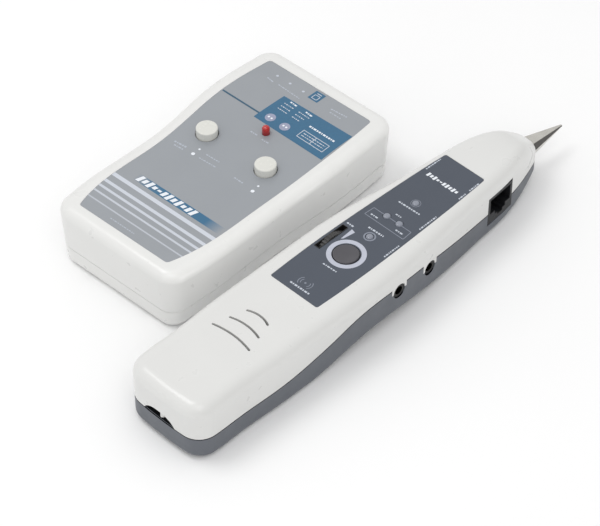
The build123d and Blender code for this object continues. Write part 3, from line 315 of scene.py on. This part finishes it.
MATERIALS["lamp_red"] = lamp_glass()
# Near-black steel for the tip's side facets: a painted dark reflection of the surround, not the steel's
# own colour.
TIP_DARK_REFLECTION = surface("tip_dark_reflection", (0.09, 0.085, 0.08, 1), 0.30, metallic=1.0, spread=0.10, patch=300,
                     grain=2400, grain_depth=0.005, stretch=(1, 0.05, 1), edge_wear_and_sheen=0.6, rounding=0.12)
SEAM_SHADE = surface("seam_shade", srgb(20, 21, 24), 0.8, specular=0.1, spread=0.06, patch=200,
                     grain=3400, grain_depth=0.006)
# Near-black for the thumbwheel slot's walls: painted shade in the narrow slot.
SLOT_SHADE_BLACK = surface("slot_shade_black", srgb(30, 29, 29), 0.5, spread=0.08, patch=400, grain=3200,
                      grain_depth=0.008, edge_wear_and_sheen=0.8, rounding=0.1)


# ================================================================ the carried-over pieces
def dress(obj, material):
    """Gives a CAD node its material and smooth shading between sharp edges."""
    obj.data.materials.clear()
    obj.data.materials.append(material)
    obj.data.shade_smooth()
    obj.data.set_sharp_from_angle(angle=math.radians(SMOOTH_ANGLE))


MATERIAL_OF = {
    "toner_upper_cover": "case_white", "toner_lower_cover": "case_white", "toner_label": "face_label",
    "toner_left_button": "cap_white", "toner_right_button": "cap_white",
    "toner_left_plunger": "inner_black", "toner_right_plunger": "inner_black",
    "toner_switches": "inner_black", "toner_signal_lamp": "lamp_red", "toner_lamp_legs": "screw_steel",
    "toner_circuit_board": "circuit_green", "toner_network_jack": "inner_black",
    "toner_jack_contacts": "contact_gold", "toner_battery": "battery_can",
    "toner_battery_snap": "snap_black", "toner_lead_red": "lead_red", "toner_lead_black": "lead_black",
    "toner_battery_door": "case_white", "toner_case_screws": "screw_steel",
    "toner_board_screws": "screw_steel", "probe_upper_shell": "case_white",
    "probe_lower_shell": "slate_shell", "probe_panel": "panel_slate",
    "probe_power_button": "button_slate", "probe_power_plunger": "inner_black",
    "probe_power_switch": "inner_black", "probe_lamps": "lamp_pale",
    "probe_network_jack": "inner_black", "probe_jack_contacts": "contact_gold",
    "probe_phone_jack": "inner_black", "probe_phone_contacts": "contact_gold",
    "probe_side_sockets": "inner_black", "probe_socket_sleeves": "socket_sleeve_shade",
    "probe_tip": "bright_steel", "probe_tip_holder": "inner_black", "probe_tip_contact": "screw_steel",
    "probe_circuit_board": "circuit_green", "probe_battery": "battery_can",
    "probe_battery_snap": "snap_black", "probe_battery_door": "slate_shell",
    "probe_lead_red": "lead_red", "probe_lead_black": "lead_black",
    "probe_case_screws": "screw_steel", "probe_board_screws": "screw_steel",
    "speaker_basket": "pot_grey", "speaker_cone": "speaker_paper", "speaker_magnet": "magnet_iron",
    "volume_wheel": "wheel_black", "volume_spindle": "screw_steel", "volume_pot": "pot_grey",
}
for node_name, material_name in MATERIAL_OF.items():
    dress(NODES[node_name], MATERIALS[material_name])


def dress_faces(obj, material, chosen):
    """Gives a second material to the faces that are chosen."""
    obj.data.materials.append(material)
    for face in obj.data.polygons:
        if chosen(face):
            face.material_index = 1


def dark_reflection_facet(face):
    """The tip's upper side facets, which carry a painted dark reflection."""
    return abs(face.normal.x) > 0.8 and face.normal.z > 0.05


def seam_rim(face):
    """The slate shell's upward rim, which lies in the seam's shade."""
    return face.normal.z > 0.7 and face.center.z > 7 * MM


dress_faces(NODES["probe_tip"], TIP_DARK_REFLECTION, dark_reflection_facet)
dress_faces(NODES["probe_lower_shell"], SEAM_SHADE, seam_rim)


# ================================================================ printed shapes
def bar(start, end, width):
    """Straight stroke between two points."""
    a = Vector(start)
    b = Vector(end)
    side = (b - a).normalized()
    side = Vector((-side.y, side.x)) * width / 2
    return [[tuple(a - side), tuple(b - side), tuple(b + side), tuple(a + side)]]


def block(low, high):
    return [[(low[0], low[1]), (high[0], low[1]), (high[0], high[1]), (low[0], high[1])]]


def disc(x, y, radius, sides=28):
    turns = [2 * math.pi * index / sides for index in range(sides)]
    return [[(x + radius * math.cos(turn), y + radius * math.sin(turn)) for turn in turns]]


def ring(x, y, inner, outer, sides=96, start=0.0, end=360.0):
    turns = [math.radians(start + (end - start) * index / sides) for index in range(sides + 1)]
    quads = []
    for a, b in zip(turns, turns[1:]):
        quads.append([(x + inner * math.cos(a), y + inner * math.sin(a)),
                      (x + outer * math.cos(a), y + outer * math.sin(a)),
                      (x + outer * math.cos(b), y + outer * math.sin(b)),
                      (x + inner * math.cos(b), y + inner * math.sin(b))])
    return quads


def outline(corners, width):
    strokes = []
    for a, b in zip(corners, corners[1:] + corners[:1]):
        strokes += bar(a, b, width)
    return strokes


def dashes(start, end, height, lengths=(0.9, 0.5, 1.2, 0.7), gap=0.35):
    """Row of short strokes where a small legend stands."""
    a = Vector(start)
    b = Vector(end)
    total = (b - a).length
    way = (b - a).normalized()
    strokes = []
    at = 0.0
    index = 0
    while at < total - 0.2:
        stop = min(at + lengths[index % len(lengths)], total)
        strokes += bar(a + way * at, a + way * stop, height)
        at = stop + gap
        index += 1
    return strokes


def levels(start, end, heights, slant):
    """Row of leaning bars of different heights, a plain sign for a tone."""
    step = (end - start[0]) / len(heights)
    width = 0.68 * step
    middle = start[1]
    bars = []
    for index, height in enumerate(heights):
        x = start[0] + index * step
        lean = slant * height / 2
        low = middle - height / 2
        high = middle + height / 2
        bars.append([(x - lean, low), (x + width - lean, low), (x + width + lean, high), (x + lean, high)])
    return bars


def placed(name, mesh, material):
    """Turns a finished bmesh into an object in the scene."""
    data = bpy.data.meshes.new(name)
    mesh.to_mesh(data)
    mesh.free()
    data.materials.append(material)
    obj = bpy.data.objects.new(name, data)
    bpy.context.scene.collection.objects.link(obj)
    return obj


def printed(name, body, node, place, shapes, material, lift=INK_LIFT):
    """Ink on a node's upper face: flat outlines cut into strips and laid on its surface."""
    depsgraph = bpy.context.evaluated_depsgraph_get()
    ground = BVHTree.FromObject(NODES[node], depsgraph)
    mesh = bmesh.new()
    for corners in shapes:
        mesh.faces.new([mesh.verts.new((x, y, 0)) for x, y in corners])
    lengths = [vert.co.y for vert in mesh.verts]
    cut = min(lengths) + INK_STEP
    while cut < max(lengths):
        geometry = mesh.verts[:] + mesh.edges[:] + mesh.faces[:]
        bmesh.ops.bisect_plane(mesh, geom=geometry, plane_co=(0, cut, 0), plane_no=(0, 1, 0))
        cut += INK_STEP
    for vert in mesh.verts:
        point = place @ (vert.co * MM)
        hit = ground.ray_cast(Vector((point.x, point.y, ABOVE_ALL)), Vector((0, 0, -1)))[0]
        hit = hit or ground.find_nearest(Vector((point.x, point.y, FACE_HEIGHT)))[0]
        vert.co = Vector((point.x, point.y, hit.z + lift * MM))
    bmesh.ops.recalc_face_normals(mesh, faces=mesh.faces)
    for face in mesh.faces:
        if face.normal.z < 0:
            face.normal_flip()
    obj = placed(name, mesh, material)
    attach(obj, body)


def ink(name, colour, rough=0.42):
    """Screen-printed ink: slightly uneven cover and a soft gloss."""
    return surface(name, colour, rough, spread=0.04, patch=900, grain=5200, grain_depth=0.004,
                   grain_strength=0.3)


INK_WHITE = ink("ink_white", srgb(232, 236, 242))
INK_PALE = ink("ink_pale", srgb(196, 202, 212))
INK_FAINT = ink("ink_faint", srgb(178, 184, 194))
INK_BLUE = ink("ink_blue", srgb(46, 99, 132))
INK_NAVY = ink("ink_navy", srgb(44, 84, 108))
INK_LILAC = ink("ink_lilac", srgb(150, 155, 178))
INK_RING = ink("ink_ring", srgb(186, 190, 203), 0.34)
INK_DIM = ink("ink_dim", srgb(128, 134, 147))


# ================================================================ toner face
def toner_face():
    def on_label(name, shapes, material, lift=INK_LIFT):
        printed(name, "toner", "toner_label", TONER, shapes, material, lift)

    blue = [[(-8.1, 24.4), (26.4, 23.8), (26.4, 41.0), (-7.5, 40.6)]]
    blue += block((-0.8, 46.2), (3.9, 51.5))
    on_label("toner_print_blue", blue, INK_BLUE)
    on_label("toner_print_line", bar((-26.7, 27.3), (-8.0, 27.2), 0.75), INK_NAVY)

    heights = (3.4, 2.3, 3.4, 1.7, 1.0, 2.7, 3.4, 2.3, 3.4, 1.7, 2.7, 3.4)
    white = levels((-17.0, -27.4), 11.9, heights, 0.28)
    white += dashes((11.0, 34.4), (23.4, 34.3), 0.85)
    white += dashes((-3.4, 39.7), (0.2, 39.4), 0.7)
    white += dashes((4.6, 39.4), (8.2, 39.0), 0.7)
    white += disc(-11.9, -4.3, 0.75) + disc(17.9, -4.1, 0.75)
    white += disc(-11.8, -1.0, 0.45) + disc(17.7, -0.8, 0.45)
    on_label("toner_print_white", white, INK_WHITE, 2 * INK_LIFT)

    pale = []
    for row, y in enumerate((37.6, 35.7, 33.9)):
        pale += dashes((-4.6, y), (0.4, y - 0.1), 0.45, (0.5, 0.9, 0.4))
        pale += dashes((2.6, y), (8.2 - row, y - 0.1), 0.45, (0.8, 0.4, 0.6))
    pale += outline([(11.0, 27.2), (23.8, 27.0), (23.8, 31.2), (11.0, 31.4)], 0.3)
    pale += bar((17.4, 27.1), (17.4, 31.3), 0.3)
    for y in (30.0, 28.7):
        pale += dashes((12.0, y), (22.8, y - 0.1), 0.4, (1.4, 0.6, 0.9))
    pale += outline([(0.4, 47.1), (2.8, 47.1), (2.8, 49.4), (0.4, 49.4)], 0.3)
    pale += bar((0.5, 50.4), (2.7, 50.4), 0.4)
    for x in (-17.3, -10.8, -4.1):
        pale += disc(x, 47.5, 0.55)
    on_label("toner_print_pale", pale, INK_PALE, 2 * INK_LIFT)

    faint = dashes((-19.4, 44.2), (-15.6, 43.6), 0.6)
    faint += dashes((-13.6, 44.0), (-2.4, 43.4), 0.5)
    faint += dashes((10.1, 47.3), (17.5, 47.9), 0.6)
    faint += dashes((11.0, 45.6), (16.4, 45.6), 0.5)
    faint += dashes((-21.8, -3.9), (-16.0, -3.4), 0.8)
    faint += dashes((-20.6, -5.4), (-16.4, -5.1), 0.6)
    faint += dashes((-8.9, -4.3), (-0.4, -3.9), 0.5)
    faint += dashes((-8.0, -1.3), (-1.6, -1.1), 0.5)
    faint += dashes((8.0, -3.3), (12.6, -3.4), 0.6)
    faint += dashes((-3.6, 17.9), (-0.2, 18.0), 0.55)
    faint += dashes((2.4, 17.5), (6.2, 17.6), 0.55)
    faint += dashes((-9.0, -50.2), (3.0, -50.2), 0.45)
    on_label("toner_print_faint", faint, INK_FAINT)

    lilac = disc(-3.0, 28.1, 2.1) + disc(4.4, 27.9, 2.1)
    on_label("toner_print_discs", lilac, INK_LILAC, 2 * INK_LIFT)
    dots = []
    for x in (-3.7, -2.3, 3.7, 5.1):
        dots += disc(x, 28.0, 0.45, 12)
    on_label("toner_print_dots", dots, INK_WHITE, 3 * INK_LIFT)


# ================================================================ probe face
def probe_face():
    def on_panel(name, shapes, material):
        printed(name, "probe", "probe_panel", PROBE, shapes, material)

    pale = ring(0.3, -7.6, 5.45, 7.3)
    pale += [[(-6.6, -3.4), (-5.9, -2.6), (-5.1, 2.4), (-7.0, 2.9)]]
    on_panel("probe_print_ring", pale, INK_RING)

    heights = (2.0, 1.4, 2.0, 1.0, 0.6, 1.7, 2.0, 1.4, 2.0, 1.2)
    on_panel("probe_print_white", levels((-7.4, 43.4), 7.7, heights, 0.15), INK_WHITE)

    legends = dashes((-3.6, 7.9), (3.6, 8.1), 0.75)
    legends += dashes((-4.9, 25.2), (5.1, 25.5), 0.7)
    legends += dashes((-7.7, 13.5), (-4.2, 13.5), 0.65)
    legends += dashes((4.3, 13.7), (7.6, 13.7), 0.65)
    legends += dashes((-1.2, 19.7), (1.4, 19.7), 0.6)
    legends += dashes((-2.4, -16.8), (4.0, -16.6), 0.6)
    legends += dashes((-4.3, -31.4), (5.2, -31.2), 0.75)
    legends += dashes((-10.7, 4.2), (-7.6, 4.2), 0.7)
    for low, high in ((0.8, 8.6), (19.8, 29.0), (41.4, 45.4), (47.3, 52.9)):
        edge = 11.0 - 0.028 * (low + high) / 2
        legends += dashes((edge, low), (edge - 0.1, high), 0.6, (0.6, 1.1, 0.4))
    legends += dashes((-9.5, 44.8), (-9.3, 52.4), 0.6, (0.6, 1.1, 0.4))
    on_panel("probe_print_legends", legends, INK_PALE)

    dim = outline([(-9.4, 12.0), (9.5, 12.0), (9.2, 16.6), (-9.1, 16.6)], 0.3)
    dim += ring(0.1, 4.6, 1.75, 2.35, 36)
    dim += ring(0.2, 28.8, 1.7, 1.95, 30)
    for radius in (1.2, 2.2):
        dim += ring(-0.6, -28.2, radius, radius + 0.3, 14, 130, 230)
        dim += ring(0.6, -28.2, radius, radius + 0.3, 14, -50, 50)
    dim += disc(0, -28.2, 0.45, 14)
    on_panel("probe_print_dim", dim, INK_DIM)


# ================================================================ thumbwheel slot
SLOT_AT = (-9.8, -5.0)
SLOT_HALF = (1.34, 7.49)
SLOT_CORNER = 0.5
SLOT_WALL = 0.22
SLOT_HEIGHTS = (22.6, 26.16)


def slot_shade_sleeve():
    """Black sleeve that lines the thumbwheel's slot through the white shell: a painted shade sheet over
    the slot's walls.
    """
    half_x, half_y = SLOT_HALF
    low, high = SLOT_HEIGHTS
    mesh = bmesh.new()
    rings = []
    for grow, height in ((0.0, high), (0.0, low), (-SLOT_WALL, low), (-SLOT_WALL, high)):
        corners = []
        for x_sign, y_sign, turn in ((1, 1, 0), (-1, 1, 90), (-1, -1, 180), (1, -1, 270)):
            x = SLOT_AT[0] + x_sign * (half_x - SLOT_CORNER)
            y = SLOT_AT[1] + y_sign * (half_y - SLOT_CORNER)
            radius = SLOT_CORNER + grow
            for step in range(5):
                angle = math.radians(turn + 22.5 * step)
                corners.append((x + radius * math.cos(angle), y + radius * math.sin(angle)))
        rings.append([mesh.verts.new(PROBE @ (Vector((x, y, height)) * MM)) for x, y in corners])
    for index, first in enumerate(rings):
        second = rings[(index + 1) % len(rings)]
        for a in range(len(first)):
            b = (a + 1) % len(first)
            mesh.faces.new((first[a], first[b], second[b], second[a]))
    bmesh.ops.recalc_face_normals(mesh, faces=mesh.faces)
    obj = placed("wheel_slot_shade_sleeve", mesh, SLOT_SHADE_BLACK)
    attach(obj, "probe")


toner_face()
probe_face()
slot_shade_sleeve()


# ================================================================ floor, light and camera
FLOOR_REACH = 3.0               # metres from the middle to each side
FLOOR_DROP = 0.00005            # keeps the floor just clear of the pieces' own flat bottoms
SKY_LEVEL = 0.80
SKY_IN_GLOSS = (0.25, 1.15)     # mirrored surround, from low on the right to high on the left
CAMERA_AZIMUTH = 42.38
CAMERA_ELEVATION = 45.23
CAMERA_DISTANCE = 1.081
CAMERA_LENS = 176.4
CAMERA_AIM = (0.01289, -0.00865, 0.0)


def floor():
    """Pale studio floor, wide enough to pass for a seamless sweep."""
    mesh = bmesh.new()
    bmesh.ops.create_grid(mesh, x_segments=24, y_segments=24, size=FLOOR_REACH)
    tree = Tree("studio_floor")
    clouds = tree.span(tree.noise(6.0, 3.0), 0.3, 0.7)
    shade = tree.mix(clouds, (0.95, 0.95, 0.95, 1), (0.965, 0.965, 0.965, 1))
    tree.links.new(shade, tree.shader.inputs["Base Color"])
    tree.shader.inputs["Roughness"].default_value = 0.9
    tree.shader.inputs["Specular IOR Level"].default_value = 0.1
    obj = placed("studio_floor", mesh, tree.material)
    obj.location.z = -FLOOR_DROP


def softbox(name, direction, distance, size, power):
    light = bpy.data.lights.new(name, "AREA")
    light.shape = "DISK"
    light.size = size
    light.energy = power
    obj = bpy.data.objects.new(name, light)
    way = Vector(direction).normalized()
    obj.location = way * distance
    obj.rotation_mode = "QUATERNION"
    obj.rotation_quaternion = way.to_track_quat("Z", "Y")
    bpy.context.scene.collection.objects.link(obj)
    return obj


def only_on(light, objects):
    """Limits a light to some pieces. Nothing else shades it."""
    lit = bpy.data.collections.new(light.name + "_lit")
    for obj in objects:
        lit.objects.link(obj)
    light.light_linking.receiver_collection = lit
    light.light_linking.blocker_collection = lit


def sky():
    """Even white surround. Polished surfaces mirror it darker low on the right, as a studio does."""
    world = bpy.data.worlds.new("studio")
    bpy.context.scene.world = world
    world.use_nodes = True
    nodes = world.node_tree.nodes
    links = world.node_tree.links
    way = nodes.new("ShaderNodeTexCoord")
    slope = nodes.new("ShaderNodeVectorMath")
    slope.operation = "DOT_PRODUCT"
    slope.inputs[1].default_value = Vector((-0.62, -0.10, 0.78)).normalized()
    links.new(way.outputs["Generated"], slope.inputs[0])
    mirrored = nodes.new("ShaderNodeMapRange")
    mirrored.inputs["From Min"].default_value = -0.35
    mirrored.inputs["From Max"].default_value = 0.75
    mirrored.inputs["To Min"].default_value = SKY_IN_GLOSS[0]
    mirrored.inputs["To Max"].default_value = SKY_IN_GLOSS[1]
    links.new(slope.outputs["Value"], mirrored.inputs["Value"])
    path = nodes.new("ShaderNodeLightPath")
    level = nodes.new("ShaderNodeMix")
    level.inputs["A"].default_value = SKY_LEVEL
    links.new(path.outputs["Is Glossy Ray"], level.inputs["Factor"])
    links.new(mirrored.outputs["Result"], level.inputs["B"])
    links.new(level.outputs["Result"], nodes["Background"].inputs["Strength"])
    nodes["Background"].inputs["Color"].default_value = (1, 1, 1, 1)


def camera():
    azimuth = math.radians(CAMERA_AZIMUTH)
    elevation = math.radians(CAMERA_ELEVATION)
    back = Vector((math.sin(azimuth) * math.cos(elevation), -math.cos(azimuth) * math.cos(elevation),
                   math.sin(elevation)))
    data = bpy.data.cameras.new("camera")
    data.lens = CAMERA_LENS
    data.sensor_width = 36.0
    data.clip_start = 0.05
    data.clip_end = 20.0
    obj = bpy.data.objects.new("camera", data)
    obj.location = Vector(CAMERA_AIM) + back * CAMERA_DISTANCE
    obj.rotation_mode = "QUATERNION"
    obj.rotation_quaternion = (-back).to_track_quat("-Z", "Y")
    bpy.context.scene.collection.objects.link(obj)
    bpy.context.scene.camera = obj


floor()
sky()
softbox("key", (-0.34, -0.24, 0.91), 1.1, 0.50, 2.2)
softbox("fill", (0.42, -0.40, 0.81), 1.3, 0.9, 2.2)
bounce = softbox("bounce", (0.98, 0.10, 0.13), 0.9, 0.5, 1.7)        # lifts the toner's shaded side
only_on(bounce, [NODES["toner_upper_cover"], NODES["toner_lower_cover"]])
camera()
bpy.context.scene.view_settings.view_transform = "Standard"
